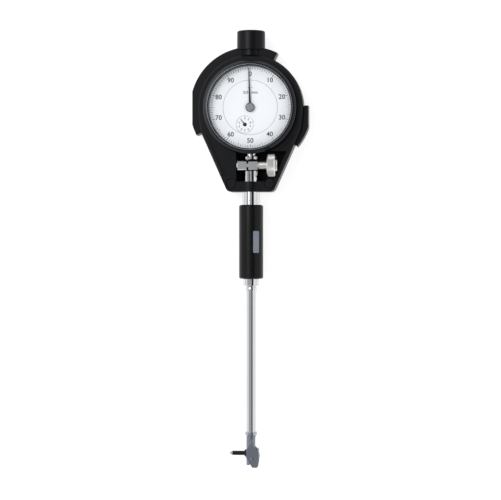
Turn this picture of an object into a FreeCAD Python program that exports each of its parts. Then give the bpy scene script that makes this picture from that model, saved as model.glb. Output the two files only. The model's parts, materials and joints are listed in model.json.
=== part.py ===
import FreeCAD, Part
import math
import os

from FreeCAD import Vector

# Dial bore gauge. The flat back of the rear cover lies on Z = 0 under the dial's centre, +Y runs
# up the stem towards the top cap, and +Z is the way the dial faces. All sizes are in millimetres.

RUN = 0.05            # radial running clearance of every shaft, rod and screw
LOOSE = 0.1           # clearance between pieces that are only put together
GAP = 0.3             # clearance between pieces that pass each other

# covers
STEM_Z = 10.0         # height of the stem's axis, also the plane where the covers part
COVER_R = 32.5
TAPER_OFFSET = 34.0   # distance of the tapered sides from the dial's axis
TAPER_DEG = 24.0
COVER_BOTTOM = -51.8
COVER_CORNER_R = 3.5
COVER_WALL = 2.2
COVER_FLOOR = 2.0
COVER_FRONT_Z = 17.5
COVER_CHAMFER = 1.2
PANEL_DEPTH = 0.8
PANEL_RIM = 2.6
BAND_TOP = -41.4      # lower band of the front cover, below the panel
BAND_DEPTH = 1.1
BULGE_R = 7.8         # half-round bulge over the holder tube
BEZEL_WINDOW_RIM = 2.6
WING_R = 37.5
WING_Z0 = 1.5
WING_Z1 = 14.0
WING_LEFT_FLAT = -36.1
WING_RIGHT_FLAT = 35.5
SCREW_X = 11.85
SCREW_Y = -46.7
SCREW_R = 1.25
SCREW_HEAD_R = 2.6
SCREW_HEAD_H = 1.2
SCREW_RECESS_R = 3.1
SCREW_RECESS_DEPTH = 1.4
BOSS_R = 3.2
NECK_R = 6.4          # half-round necks that carry the top cap
NECK_WALL = 2.0
NECK_TOP = 43.5
CAP_R = 8.65
CAP_BOTTOM = 35.9
CAP_TOP = 47.6
CAP_WALL = 2.0
CAP_EDGE_R = 1.2

# clamp and stem
HOLDER_R = 5.55
HOLDER_TOP = -29.6
HOLDER_BOTTOM = -66.0
COLLAR_SLOT_X = -0.15
COLLAR_SLOT = 1.9
COLLAR_SLOT_END = -46.0
PANEL_STEP = 0.4
BARREL_R = 3.75
BARREL_X0 = -8.0
BARREL_X1 = 5.2
BARREL_Y = -35.5
BARREL_Z = 17.2
BARREL_SLOT_X = -1.4
BARREL_SLOT = 1.1
CLAMP_SCREW_R = 1.45
CLAMP_NECK_R = 2.8
CLAMP_HEAD_R = 7.05
CLAMP_HEAD_X = 10.6
CLAMP_HEAD_W = 5.0
CLAMP_BOSS_R = 4.25
CLAMP_BOSS_W = 1.1
WINDOW_X = -8.7
WINDOW_BOTTOM = -45.5
STEM_R = 4.0          # stem of the indicator, the usual 8 mm
STEM_BOTTOM = -46.0
GRIP_R = 7.45
GRIP_TOP = -59.8
GRIP_BOTTOM = -105.3
GRIP_CHAMFER = 0.7
LABEL_DROP = 16.1     # label plate below the grip's top
LABEL_LENGTH = 13.5
LABEL_WIDTH = 4.0
LABEL_THICK = 0.5
LABEL_DEG = 29.0      # turn of the label plate round the grip, to the right of the front
FERRULE_R = 4.875
FERRULE_SHOWS = 4.4   # length of the ferrule below the grip
BEAD_R = 3.5
BEAD_DROP = 0.7       # bead below the ferrule
BEAD_LENGTH = 3.0
FERRULE_SPIGOT_R = 4.4
FERRULE_SPIGOT = 5.0
TUBE_R = 3.0
TUBE_BORE_R = 2.0
TUBE_TOP = -52.0
TUBE_BOTTOM = -201.9
RING_R = 3.65
RING_LENGTH = 2.3     # ring above the tube's bottom
ROD_R = 1.0
BUSH_LENGTH = 6.0
BUSH_DROPS = (4.0, 73.0, 134.0)  # top of each bush below the tube's top

# measuring head
HEAD_R = 2.9
HEAD_SPIGOT = 6.0
HEAD_LENGTH = 15.5    # head below the tube
PRONG_LENGTH = 2.8    # prong below the head
PRONG_X = -0.9
HEAD_FLAT_X = 2.5
HEAD_FLAT_DROP = 1.1  # flat below the tube
CONTACT_DROP = 11.0   # contact below the tube
CONTACT_R = 0.9
CONTACT_TIP_X = 5.15
CONTACT_ROUND = 0.5
CONTACT_NOSE_R = 0.5  # thinned inner end, which passes under the lever's hub
CONTACT_NOSE_ROUND = 0.3  # its domed edge, which clears the lever's beam at full travel
ANVIL_R = 1.35
ANVIL_SEAT_X = -1.5
ANVIL_CONE_X = -11.7
ANVIL_TIP_X = -13.3
ANVIL_TIP_R = 0.45
LOCK_NUT_R = 2.25
LOCK_NUT_X0 = -4.0
LOCK_NUT_X1 = -2.95
STROKE = 1.2          # travel of the contact, the rod and the indicator's spindle
LEVER_ARM = 1.5
LEVER_SWING = STROKE / LEVER_ARM
LEVER_X = 0.9
LEVER_THICK = 2.0     # as wide as the rod that it lifts
LEVER_END_R = 0.35
LEVER_PIN_R = 0.4
LEVER_HUB_R = 0.8
LEVER_BEAM = 0.4
ROD_TOE_X = -0.2      # right edge of the rod's thinned toe, which passes beside the lever's hub
CHEEK_THICK = 0.8
# outline of a cheek: x from the stem's axis, and y from the contact
GUIDE_OUTLINE = ((1.4, 9.0), (-1.7, 4.2), (-2.85, 2.4), (-2.85, -2.6), (0.9, -8.8), (4.0, -8.8),
                 (4.5, -5.7), (5.0, -1.7), (4.7, 0.9), (3.1, 3.3), (1.9, 4.7))
BRIDGE_X0 = 3.8
BRIDGE_X1 = 4.7
BRIDGE_BELOW = 3.1    # bridge of the guide, each way from the contact
BRIDGE_ABOVE = 3.0
GUIDE_PIN_X = 0.4
GUIDE_PIN_DROP = 3.3  # guide pin below the contact
GUIDE_PIN_R = 0.4
GUIDE_SPRING_R = 0.45

# indicator
CASE_R = 26.5
CASE_WALL = 1.7
CASE_BACK_Z = COVER_FLOOR + GAP
BACK_THICK = 1.2
CASE_FRONT_Z = 16.2
WEB_THICK = 1.0
LUG_CENTRE_R = 23.0
LUG_R = 2.0
LUG_TOP = 8.5
BACK_SCREW_R = 0.8
PLATE_R = 20.0
PLATE_Z = 5.4
PLATE_THICK = 0.8
PILLAR_R = 1.2
PILLAR_CENTRE_R = 17.5
PILLAR_ANGLES = (150.0, 205.0, 325.0)
BRIDGE_PLATE_Z = STEM_Z + 2.25
BRIDGE_PLATE_THICK = 0.6
SPINDLE_R = 2.0
SPINDLE_TOP = 30.0
SPINDLE_SHOWS = 1.0   # spindle below the indicator's stem
SPINDLE_TIP_R = 1.2
SPINDLE_TIP_LENGTH = 2.3
SPINDLE_CAP_R = 3.2
SPINDLE_CAP_TOP = 42.0
SPINDLE_PIN_R = 0.6
SPINDLE_PIN_Y = 8.0
RACK_PITCH = 0.625
RACK_TEETH = 17
RACK_ADD = 0.19
RACK_DED = 0.25
RACK_PINION_TEETH = 16
GEAR_MODULE = 0.2
GEAR_TEETH = 100
PINION_TEETH = 10
GEAR_Z = 13.2
GEAR_THICK = 0.5
PINION_THICK = 0.9
BACKLASH = 0.04
ARBOR_R = 0.6
FINE_ARBOR_R = 0.4
SMALL_DIAL_DEG = -107.45
DIAL_Z = CASE_FRONT_Z + LOOSE
DIAL_THICK = 0.4
DIAL_R = 25.2
DIAL_CENTRE_R = 16.8
BEZEL_R = 28.6
BEZEL_BORE_R = 25.3
BEZEL_STEM_GAP = 0.6  # bezel's back above the indicator's stem
BEZEL_Z1 = 23.0
BEZEL_CHAMFER_Z = 21.4
BEZEL_FACE_R = 26.9
CRYSTAL_R = 25.9
CRYSTAL_Z = 20.6
CRYSTAL_THICK = 1.2
WIRE_R0 = 26.2
WIRE_R1 = 26.95
WIRE_Z0 = 15.2
WIRE_Z1 = 15.8
POINTER_Z = 17.9
POINTER_THICK = 0.25
POINTER_TIP_R = 24.2
POINTER_DEG = 92.0
POINTER_HUB_R = 2.8
SMALL_POINTER_Z = 16.95
SMALL_POINTER_THICK = 0.2
SMALL_POINTER_LENGTH = 4.2
SMALL_POINTER_DEG = 128.0

# places that follow from the sizes above
TAPER = math.radians(TAPER_DEG)
BEZEL_Z0 = STEM_Z + STEM_R + BEZEL_STEM_GAP
LABEL_TOP = GRIP_TOP - LABEL_DROP
FERRULE_BOTTOM = GRIP_BOTTOM - FERRULE_SHOWS
BEAD_TOP = FERRULE_BOTTOM - BEAD_DROP
BEAD_BOTTOM = BEAD_TOP - BEAD_LENGTH
RING_TOP = TUBE_BOTTOM + RING_LENGTH
BUSH_TOPS = tuple(TUBE_TOP - drop for drop in BUSH_DROPS)
HEAD_BOTTOM = TUBE_BOTTOM - HEAD_LENGTH
PRONG_BOTTOM = HEAD_BOTTOM - PRONG_LENGTH
HEAD_FLAT_TOP = TUBE_BOTTOM - HEAD_FLAT_DROP
CONTACT_Y = TUBE_BOTTOM - CONTACT_DROP
BRIDGE_Y0 = CONTACT_Y - BRIDGE_BELOW
BRIDGE_Y1 = CONTACT_Y + BRIDGE_ABOVE
GUIDE_PIN_Y = CONTACT_Y - GUIDE_PIN_DROP
SPINDLE_BOTTOM = STEM_BOTTOM - SPINDLE_SHOWS
BEZEL_WINDOW_R = BEZEL_R + GAP
WEB_Z = CASE_FRONT_Z - WEB_THICK
CENTRE_DISTANCE = GEAR_MODULE * (GEAR_TEETH + PINION_TEETH) / 2
SMALL_X = CENTRE_DISTANCE * math.cos(math.radians(SMALL_DIAL_DEG))
SMALL_Y = CENTRE_DISTANCE * math.sin(math.radians(SMALL_DIAL_DEG))
TAKE_UP_DEG = SMALL_DIAL_DEG + 4 * 360 / PINION_TEETH
TAKE_UP_X = CENTRE_DISTANCE * math.cos(math.radians(TAKE_UP_DEG))
TAKE_UP_Y = CENTRE_DISTANCE * math.sin(math.radians(TAKE_UP_DEG))
RACK_PITCH_R = RACK_PITCH * RACK_PINION_TEETH / (2 * math.pi)
RACK_X = SMALL_X + RACK_PITCH_R
LEVER_REST = LEVER_SWING / 2
LEVER_Y = CONTACT_Y + LEVER_ARM * (1 + math.cos(LEVER_REST)) / 2
LEVER_SLOT = LEVER_THICK + 4 * LOOSE
CONTACT_INNER_X = LEVER_X + LEVER_ARM * math.sin(LEVER_REST) + LEVER_END_R + RUN
ROD_BOTTOM = LEVER_Y - LEVER_ARM * math.sin(LEVER_REST) + LEVER_END_R + RUN
ROD_TOP = SPINDLE_BOTTOM - SPINDLE_TIP_LENGTH - GAP
CHEEK_Z = HEAD_R + RUN


def cylinder_z(radius, z0, z1, x=0.0, y=0.0):
    return Part.makeCylinder(radius, z1 - z0, Vector(x, y, z0), Vector(0, 0, 1))


def cylinder_y(radius, y0, y1, x=0.0, z=STEM_Z):
    return Part.makeCylinder(radius, y1 - y0, Vector(x, y0, z), Vector(0, 1, 0))


def cylinder_x(radius, x0, x1, y, z=STEM_Z):
    return Part.makeCylinder(radius, x1 - x0, Vector(x0, y, z), Vector(1, 0, 0))


def block(x0, x1, y0, y1, z0, z1):
    return Part.makeBox(x1 - x0, y1 - y0, z1 - z0, Vector(x0, y0, z0))


def prism(points, z0, z1):
    corners = [Vector(x, y, z0) for x, y in points]
    face = Part.Face(Part.makePolygon(corners + corners[:1]))
    return face.extrude(Vector(0, 0, z1 - z0))


def turned_y(profile):
    """A solid turned about the stem's axis from (radius, y) points."""
    corners = [Vector(radius, y, STEM_Z) for radius, y in profile]
    face = Part.Face(Part.makePolygon(corners + corners[:1]))
    return face.revolve(Vector(0, 0, STEM_Z), Vector(0, 1, 0), 360)


def turned_x(profile, y, z):
    """A solid turned about an axis along X from (x, radius) points."""
    corners = [Vector(x, y + radius, z) for x, radius in profile]
    face = Part.Face(Part.makePolygon(corners + corners[:1]))
    return face.revolve(Vector(0, y, z), Vector(1, 0, 0), 360)


def turned_z(profile):
    """A solid turned about the dial's axis from (radius, z) points."""
    corners = [Vector(radius, 0, z) for radius, z in profile]
    face = Part.Face(Part.makePolygon(corners + corners[:1]))
    return face.revolve(Vector(0, 0, 0), Vector(0, 0, 1), 360)


def edges_where(shape, test):
    return [edge for edge in shape.Edges if test(edge.BoundBox)]


def cover_prism(inset, z0, z1):
    """The covers' outline, moved in by inset: an arc over the dial and two tapered sides."""
    radius = COVER_R - inset
    offset = TAPER_OFFSET - inset
    bottom = COVER_BOTTOM + inset
    join_angle = math.radians(-8.8)
    arc_x = radius * math.cos(join_angle)
    arc_y = radius * math.sin(join_angle)
    side_x = offset * math.cos(TAPER)
    side_y = -offset * math.sin(TAPER)
    foot_x = (offset + bottom * math.sin(TAPER)) / math.cos(TAPER)
    arc = Part.Arc(Vector(arc_x, arc_y, z0), Vector(0, radius, z0), Vector(-arc_x, arc_y, z0))
    corners = [(-arc_x, arc_y), (-side_x, side_y), (-foot_x, bottom),
               (foot_x, bottom), (side_x, side_y), (arc_x, arc_y)]
    path = Part.makePolygon([Vector(x, y, z0) for x, y in corners])
    face = Part.Face(Part.Wire([arc.toShape()] + path.Edges))
    solid = face.extrude(Vector(0, 0, z1 - z0))
    upright = edges_where(solid, lambda box: box.ZLength > z1 - z0 - 0.001 and box.YMax < bottom + 0.001
                          and box.XLength < 0.001)
    return solid.makeFillet(COVER_CORNER_R - inset, upright)


def sector(radius, z0, z1, start_deg, end_deg):
    disc = Part.makeCylinder(radius, z1 - z0, Vector(0, 0, z0), Vector(0, 0, 1), end_deg - start_deg)
    disc.rotate(Vector(0, 0, 0), Vector(0, 0, 1), start_deg)
    return disc


def wing(start_deg, end_deg):
    """A raised shoulder of the rear cover that stands outside the front cover's edge."""
    solid = sector(WING_R, WING_Z0, WING_Z1, start_deg, end_deg)
    solid = solid.cut(cover_prism(-GAP, STEM_Z, WING_Z1))
    solid = solid.cut(cylinder_z(COVER_R - COVER_WALL, WING_Z0, STEM_Z))
    solid = solid.cut(front_neck_room())
    return solid.common(block(WING_LEFT_FLAT, WING_RIGHT_FLAT, -WING_R, WING_R, WING_Z0, WING_Z1))


def cover_passages(shape):
    """The round openings along the stem's axis: the holder tube below and the neck above."""
    shape = shape.cut(cylinder_y(HOLDER_R + LOOSE, COVER_BOTTOM - 1, WINDOW_BOTTOM + 1))
    return shape.cut(cylinder_y(NECK_R - NECK_WALL, CASE_R, NECK_TOP + 1))


def neck_half(z0, z1):
    neck = cylinder_y(NECK_R, COVER_R - COVER_WALL, NECK_TOP)
    return neck.common(block(-NECK_R, NECK_R, 0, NECK_TOP, z0, z1))


def front_neck_room():
    neck = cylinder_y(NECK_R + LOOSE, COVER_R - COVER_WALL, NECK_TOP)
    return neck.common(block(-2 * NECK_R, 2 * NECK_R, 0, NECK_TOP, STEM_Z, WING_Z1))


def rear_cover():
    shell = cover_prism(0, 0, STEM_Z)
    shell = shell.makeChamfer(COVER_CHAMFER, edges_where(shell, lambda box: box.ZMax < 0.001))
    shell = shell.cut(cover_prism(COVER_WALL, COVER_FLOOR, STEM_Z))
    shell = shell.fuse([wing(64.0, 206.6), wing(-40.0, 2.0), neck_half(0, STEM_Z)])
    for side in (-1, 1):
        shell = shell.fuse(cylinder_z(BOSS_R, COVER_FLOOR, STEM_Z, side * SCREW_X, SCREW_Y))
        shell = shell.cut(cylinder_z(SCREW_R, COVER_FLOOR, STEM_Z, side * SCREW_X, SCREW_Y))
    return cover_passages(shell).removeSplitter()


def clamp_window():
    """Opening over the clamp, whose right edge runs along the tapered wall."""
    def wall_x(y):
        return (TAPER_OFFSET - PANEL_RIM + y * math.sin(TAPER)) / math.cos(TAPER)

    top = -BEZEL_WINDOW_R + 2.0
    points = [(WINDOW_X, WINDOW_BOTTOM), (wall_x(WINDOW_BOTTOM), WINDOW_BOTTOM),
              (wall_x(top), top), (WINDOW_X, top)]
    return prism(points, STEM_Z, COVER_FRONT_Z + 3)


def front_cover():
    panel_z = COVER_FRONT_Z - PANEL_DEPTH
    band_z = COVER_FRONT_Z - BAND_DEPTH
    shell = cover_prism(0, STEM_Z, COVER_FRONT_Z)
    rim = edges_where(shell, lambda box: box.ZMin > COVER_FRONT_Z - 0.001)
    shell = shell.makeChamfer(COVER_CHAMFER, rim)
    panel = cover_prism(PANEL_RIM, panel_z, COVER_FRONT_Z + 1)
    panel = panel.cut(cylinder_z(BEZEL_WINDOW_R + BEZEL_WINDOW_RIM, panel_z, COVER_FRONT_Z + 1))
    panel = panel.common(block(-COVER_R, COVER_R, BAND_TOP, 0, panel_z, COVER_FRONT_Z + 1))
    band = block(-COVER_R, COVER_R, COVER_BOTTOM - 1, BAND_TOP, band_z, COVER_FRONT_Z + 1)
    shell = shell.cut([panel, band])
    shell = shell.cut(cover_prism(COVER_WALL, STEM_Z, panel_z - COVER_FLOOR + PANEL_STEP))
    bulge = cylinder_y(BULGE_R, COVER_BOTTOM, WINDOW_BOTTOM)
    bulge = bulge.common(block(-BULGE_R, BULGE_R, COVER_BOTTOM, 0, STEM_Z, STEM_Z + BULGE_R))
    shell = shell.fuse([bulge, neck_half(STEM_Z, STEM_Z + NECK_R)])
    for side in (-1, 1):
        recess_z = band_z - SCREW_RECESS_DEPTH
        shell = shell.fuse(cylinder_z(BOSS_R, STEM_Z, band_z, side * SCREW_X, SCREW_Y))
        shell = shell.cut(cylinder_z(SCREW_R + LOOSE, STEM_Z, band_z, side * SCREW_X, SCREW_Y))
        shell = shell.cut(cylinder_z(SCREW_RECESS_R, recess_z, COVER_FRONT_Z, side * SCREW_X, SCREW_Y))
    shell = shell.cut([cylinder_z(BEZEL_WINDOW_R, STEM_Z, COVER_FRONT_Z + 1), clamp_window()])
    return cover_passages(shell).removeSplitter()


def cover_screws():
    seat = COVER_FRONT_Z - BAND_DEPTH - SCREW_RECESS_DEPTH
    screws = []
    for side in (-1, 1):
        x = side * SCREW_X
        screw = cylinder_z(SCREW_HEAD_R, seat, seat + SCREW_HEAD_H, x, SCREW_Y)
        screw = screw.fuse(cylinder_z(SCREW_R, COVER_FLOOR + 1, seat, x, SCREW_Y))
        top = seat + SCREW_HEAD_H
        for arm in ((SCREW_R, 0.35), (0.35, SCREW_R)):
            slot = block(x - arm[0], x + arm[0], SCREW_Y - arm[1], SCREW_Y + arm[1], top - 0.7, top)
            screw = screw.cut(slot)
        screws.append(screw)
    return Part.makeCompound(screws)


def top_cap():
    cap = cylinder_y(CAP_R, CAP_BOTTOM, CAP_TOP)
    cap = cap.makeFillet(CAP_EDGE_R, edges_where(cap, lambda box: box.YMin > CAP_TOP - 0.001))
    cap = cap.cut(cylinder_y(NECK_R + LOOSE, CAP_BOTTOM, CAP_TOP - CAP_WALL))
    # the mouth is cut away to stand over the round shoulder
    return cap.cut(cylinder_z(WING_R + LOOSE, 0, WING_Z1 + LOOSE)).cut(
        cylinder_z(COVER_R + LOOSE, 0, COVER_FRONT_Z + 1))


def holder_tube():
    tube = turned_y([(HOLDER_R, HOLDER_BOTTOM), (HOLDER_R, HOLDER_TOP - 0.5),
                     (HOLDER_R - 0.5, HOLDER_TOP), (STEM_R + RUN, HOLDER_TOP),
                     (STEM_R + RUN, TUBE_TOP + 0.5), (TUBE_R + RUN, TUBE_TOP),
                     (TUBE_R + RUN, HOLDER_BOTTOM)])
    barrel = cylinder_x(BARREL_R, BARREL_X0, BARREL_X1, BARREL_Y, BARREL_Z)
    barrel = barrel.makeChamfer(0.5, edges_where(barrel, lambda box: box.XLength < 0.001))
    ears = block(-HOLDER_R + 1, HOLDER_R - 1.5, BARREL_Y - BARREL_R + 0.4, BARREL_Y + BARREL_R - 0.4,
                 STEM_Z + 2, BARREL_Z)
    tube = tube.fuse([barrel, ears])
    tube = tube.cut(cylinder_y(STEM_R + RUN, TUBE_TOP + 1, HOLDER_TOP + 1))
    tube = tube.cut(cylinder_x(CLAMP_SCREW_R + RUN, BARREL_X0 + 1, BARREL_X1, BARREL_Y, BARREL_Z))
    collar_slot = block(COLLAR_SLOT_X - COLLAR_SLOT / 2, COLLAR_SLOT_X + COLLAR_SLOT / 2,
                        COLLAR_SLOT_END, HOLDER_TOP, STEM_Z, STEM_Z + HOLDER_R)
    barrel_slot = block(BARREL_SLOT_X - BARREL_SLOT / 2, BARREL_SLOT_X + BARREL_SLOT / 2,
                        BARREL_Y - BARREL_R, BARREL_Y + BARREL_R, STEM_Z, BARREL_Z + BARREL_R)
    return tube.cut([collar_slot, barrel_slot])


def thumb_screw():
    head_end = CLAMP_HEAD_X + CLAMP_HEAD_W
    return turned_x([(BARREL_X0 + 1.5, 0), (BARREL_X0 + 1.5, CLAMP_SCREW_R),
                     (BARREL_X1 + LOOSE, CLAMP_SCREW_R), (BARREL_X1 + LOOSE, CLAMP_NECK_R),
                     (CLAMP_HEAD_X, CLAMP_NECK_R), (CLAMP_HEAD_X, CLAMP_HEAD_R - 0.6),
                     (CLAMP_HEAD_X + 0.6, CLAMP_HEAD_R), (head_end - 0.6, CLAMP_HEAD_R),
                     (head_end, CLAMP_HEAD_R - 0.6), (head_end, CLAMP_BOSS_R),
                     (head_end + CLAMP_BOSS_W, CLAMP_BOSS_R - 0.5), (head_end + CLAMP_BOSS_W, 0)],
                    BARREL_Y, BARREL_Z)


def turn_to_label(shape):
    shape.rotate(Vector(0, 0, STEM_Z), Vector(0, 1, 0), LABEL_DEG)
    return shape


def label_seat_z():
    return STEM_Z + math.sqrt(GRIP_R ** 2 - (LABEL_WIDTH / 2) ** 2) - LABEL_THICK / 2


def grip():
    body = cylinder_y(GRIP_R, GRIP_BOTTOM, GRIP_TOP)
    body = body.makeChamfer(GRIP_CHAMFER, edges_where(body, lambda box: box.YLength < 0.001))
    body = body.cut([cylinder_y(HOLDER_R, HOLDER_BOTTOM, GRIP_TOP),
                     cylinder_y(TUBE_R + RUN, GRIP_BOTTOM, GRIP_TOP),
                     cylinder_y(FERRULE_SPIGOT_R, GRIP_BOTTOM, GRIP_BOTTOM + FERRULE_SPIGOT)])
    seat = label_seat_z()
    pocket = block(-LABEL_WIDTH / 2, LABEL_WIDTH / 2, LABEL_TOP - LABEL_LENGTH, LABEL_TOP, seat, seat + 5)
    return body.cut(turn_to_label(pocket))


def grip_label_plate():
    seat = label_seat_z()
    half = LABEL_WIDTH / 2 - RUN
    plate = block(-half, half, LABEL_TOP - LABEL_LENGTH + RUN, LABEL_TOP - RUN, seat, seat + LABEL_THICK)
    upright = edges_where(plate, lambda box: box.ZLength > LABEL_THICK - 0.001 and box.YLength < 0.001)
    return turn_to_label(plate.makeFillet(0.6, upright))


def grip_ferrule():
    bore = TUBE_R + RUN
    spigot_top = GRIP_BOTTOM + FERRULE_SPIGOT
    ferrule = turned_y([(bore, spigot_top), (FERRULE_SPIGOT_R, spigot_top),
                        (FERRULE_SPIGOT_R, GRIP_BOTTOM), (FERRULE_R, GRIP_BOTTOM),
                        (FERRULE_R, FERRULE_BOTTOM + 0.5), (FERRULE_R - 0.5, FERRULE_BOTTOM),
                        (bore + 0.2, FERRULE_BOTTOM), (bore + 0.2, BEAD_TOP), (BEAD_R, BEAD_TOP - 0.6),
                        (BEAD_R, BEAD_BOTTOM + 0.6), (bore + 0.1, BEAD_BOTTOM), (bore, BEAD_BOTTOM)])
    return ferrule


def stem_tube():
    return cylinder_y(TUBE_R, TUBE_BOTTOM, TUBE_TOP).cut(cylinder_y(TUBE_BORE_R, TUBE_BOTTOM, TUBE_TOP))


def stem_ring():
    ring = cylinder_y(RING_R, TUBE_BOTTOM, RING_TOP)
    ring = ring.makeChamfer(0.4, edges_where(ring, lambda box: box.YLength < 0.001))
    return ring.cut(cylinder_y(TUBE_R, TUBE_BOTTOM, RING_TOP))


def rod_bushes():
    bushes = []
    for top in BUSH_TOPS:
        bush = cylinder_y(TUBE_BORE_R, top - BUSH_LENGTH, top)
        bushes.append(bush.cut(cylinder_y(ROD_R + RUN, top - BUSH_LENGTH, top)))
    return Part.makeCompound(bushes)


def push_rod():
    rod = cylinder_y(ROD_R, ROD_BOTTOM, ROD_TOP)
    rod = rod.makeFillet(0.3, edges_where(rod, lambda box: box.YMin > ROD_TOP - 0.001))
    return rod.cut(block(ROD_TOE_X, ROD_R, ROD_BOTTOM, LEVER_Y + LEVER_HUB_R + LOOSE,
                         STEM_Z - ROD_R, STEM_Z + ROD_R))


def head_body():
    body = cylinder_y(HEAD_R, PRONG_BOTTOM, TUBE_BOTTOM)
    body = body.fuse(cylinder_y(TUBE_BORE_R, TUBE_BOTTOM, TUBE_BOTTOM + HEAD_SPIGOT))
    reach = HEAD_R + 1
    z0 = STEM_Z - reach
    z1 = STEM_Z + reach
    body = body.cut(block(PRONG_X, reach, PRONG_BOTTOM, HEAD_BOTTOM, z0, z1))
    body = body.cut(block(HEAD_FLAT_X, reach, HEAD_BOTTOM, HEAD_FLAT_TOP, z0, z1))
    # the rod's bore, the lever's slot and the cross bores of the contact and the anvil
    body = body.cut(cylinder_y(ROD_R + RUN, ROD_BOTTOM - 0.6, TUBE_BOTTOM + HEAD_SPIGOT))
    half_slot = LEVER_SLOT / 2
    slot_top = LEVER_Y + LEVER_ARM + LEVER_END_R
    slot_bottom = LEVER_Y - LEVER_ARM - LEVER_END_R - GAP
    slot = block(LEVER_X - LEVER_ARM - LEVER_END_R - GAP, reach, slot_bottom, slot_top,
                 STEM_Z - half_slot, STEM_Z + half_slot)
    contact_bore = cylinder_x(CONTACT_R + RUN, CONTACT_INNER_X - STROKE - LOOSE, reach, CONTACT_Y)
    anvil_bore = cylinder_x(ANVIL_R, -reach, ANVIL_SEAT_X, CONTACT_Y)
    lever_hole = cylinder_z(LEVER_PIN_R, z0, z1, LEVER_X, LEVER_Y)
    guide_hole = cylinder_z(GUIDE_PIN_R, z0, z1, GUIDE_PIN_X, GUIDE_PIN_Y)
    body = body.cut([slot, contact_bore, anvil_bore, lever_hole, guide_hole])
    for z in guide_spring_heights():
        body = body.cut(cylinder_x(GUIDE_SPRING_R, HEAD_FLAT_X - 1.4, reach, GUIDE_PIN_Y + 0.9, z))
    return body


def guide_spring_heights():
    return (STEM_Z - 1.5, STEM_Z + 1.5)


def guide_springs():
    y = GUIDE_PIN_Y + 0.9
    end = BRIDGE_X0 - STROKE - RUN
    return Part.makeCompound([cylinder_x(GUIDE_SPRING_R, HEAD_FLAT_X - 1.4, end, y, z)
                              for z in guide_spring_heights()])


def anvil():
    return turned_x([(ANVIL_SEAT_X, 0), (ANVIL_SEAT_X, ANVIL_R), (ANVIL_CONE_X, ANVIL_R),
                     (ANVIL_TIP_X + 0.25, ANVIL_TIP_R), (ANVIL_TIP_X, ANVIL_TIP_R * 0.4),
                     (ANVIL_TIP_X, 0)], CONTACT_Y, STEM_Z)


def anvil_lock_nut():
    nut = cylinder_x(LOCK_NUT_R, LOCK_NUT_X0, LOCK_NUT_X1, CONTACT_Y)
    nut = nut.makeChamfer(0.25, edges_where(nut, lambda box: box.XLength < 0.001))
    return nut.cut(cylinder_x(ANVIL_R, LOCK_NUT_X0, LOCK_NUT_X1, CONTACT_Y))


def contact_point():
    """One turned pin: a domed nose, a shoulder and a rounded tip, revolved from a single profile."""
    shoulder_x = CONTACT_INNER_X + STROKE + LOOSE
    tip_x = CONTACT_TIP_X - CONTACT_ROUND
    nose_x = CONTACT_INNER_X + CONTACT_NOSE_ROUND
    lean = math.sqrt(0.5)

    def place(x, radius):
        return Vector(x, CONTACT_Y + radius, STEM_Z)

    flats = [(CONTACT_INNER_X, 0), (CONTACT_INNER_X, CONTACT_NOSE_R - CONTACT_NOSE_ROUND),
             (nose_x, CONTACT_NOSE_R), (shoulder_x, CONTACT_NOSE_R), (shoulder_x, CONTACT_R), (tip_x, CONTACT_R),
             (CONTACT_TIP_X, CONTACT_R - CONTACT_ROUND), (CONTACT_TIP_X, 0)]
    rounds = {1: (nose_x - CONTACT_NOSE_ROUND * lean, CONTACT_NOSE_R - CONTACT_NOSE_ROUND * (1 - lean)),
              5: (tip_x + CONTACT_ROUND * lean, CONTACT_R - CONTACT_ROUND * (1 - lean))}
    edges = []
    for step, (start, end) in enumerate(zip(flats, flats[1:] + flats[:1])):
        if step in rounds:
            edges.append(Part.Arc(place(*start), place(*rounds[step]), place(*end)).toShape())
        else:
            edges.append(Part.makeLine(place(*start), place(*end)))
    return Part.Face(Part.Wire(edges)).revolve(place(0, 0), Vector(1, 0, 0), 360)


def cam_lever():
    """Bell crank with two equal arms at a right angle, thinned to swing in the head's slot."""
    z0 = STEM_Z - LEVER_THICK / 2
    z1 = STEM_Z + LEVER_THICK / 2
    half = LEVER_BEAM / 2
    lever = cylinder_z(LEVER_HUB_R, z0, z1, LEVER_X, LEVER_Y)
    lever = lever.fuse([
        cylinder_z(LEVER_END_R, z0, z1, LEVER_X - LEVER_ARM, LEVER_Y),
        cylinder_z(LEVER_END_R, z0, z1, LEVER_X, LEVER_Y - LEVER_ARM),
        block(LEVER_X - LEVER_ARM, LEVER_X, LEVER_Y - half, LEVER_Y + half, z0, z1),
        block(LEVER_X - half, LEVER_X + half, LEVER_Y - LEVER_ARM, LEVER_Y, z0, z1)])
    lever = lever.cut(cylinder_z(LEVER_PIN_R + RUN, z0, z1, LEVER_X, LEVER_Y))
    lever.rotate(Vector(LEVER_X, LEVER_Y, 0), Vector(0, 0, 1), math.degrees(LEVER_REST))
    return lever


def lever_pin():
    half = math.sqrt(HEAD_R ** 2 - (LEVER_X + LEVER_PIN_R) ** 2)
    return cylinder_z(LEVER_PIN_R, STEM_Z - half, STEM_Z + half, LEVER_X, LEVER_Y)


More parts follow.
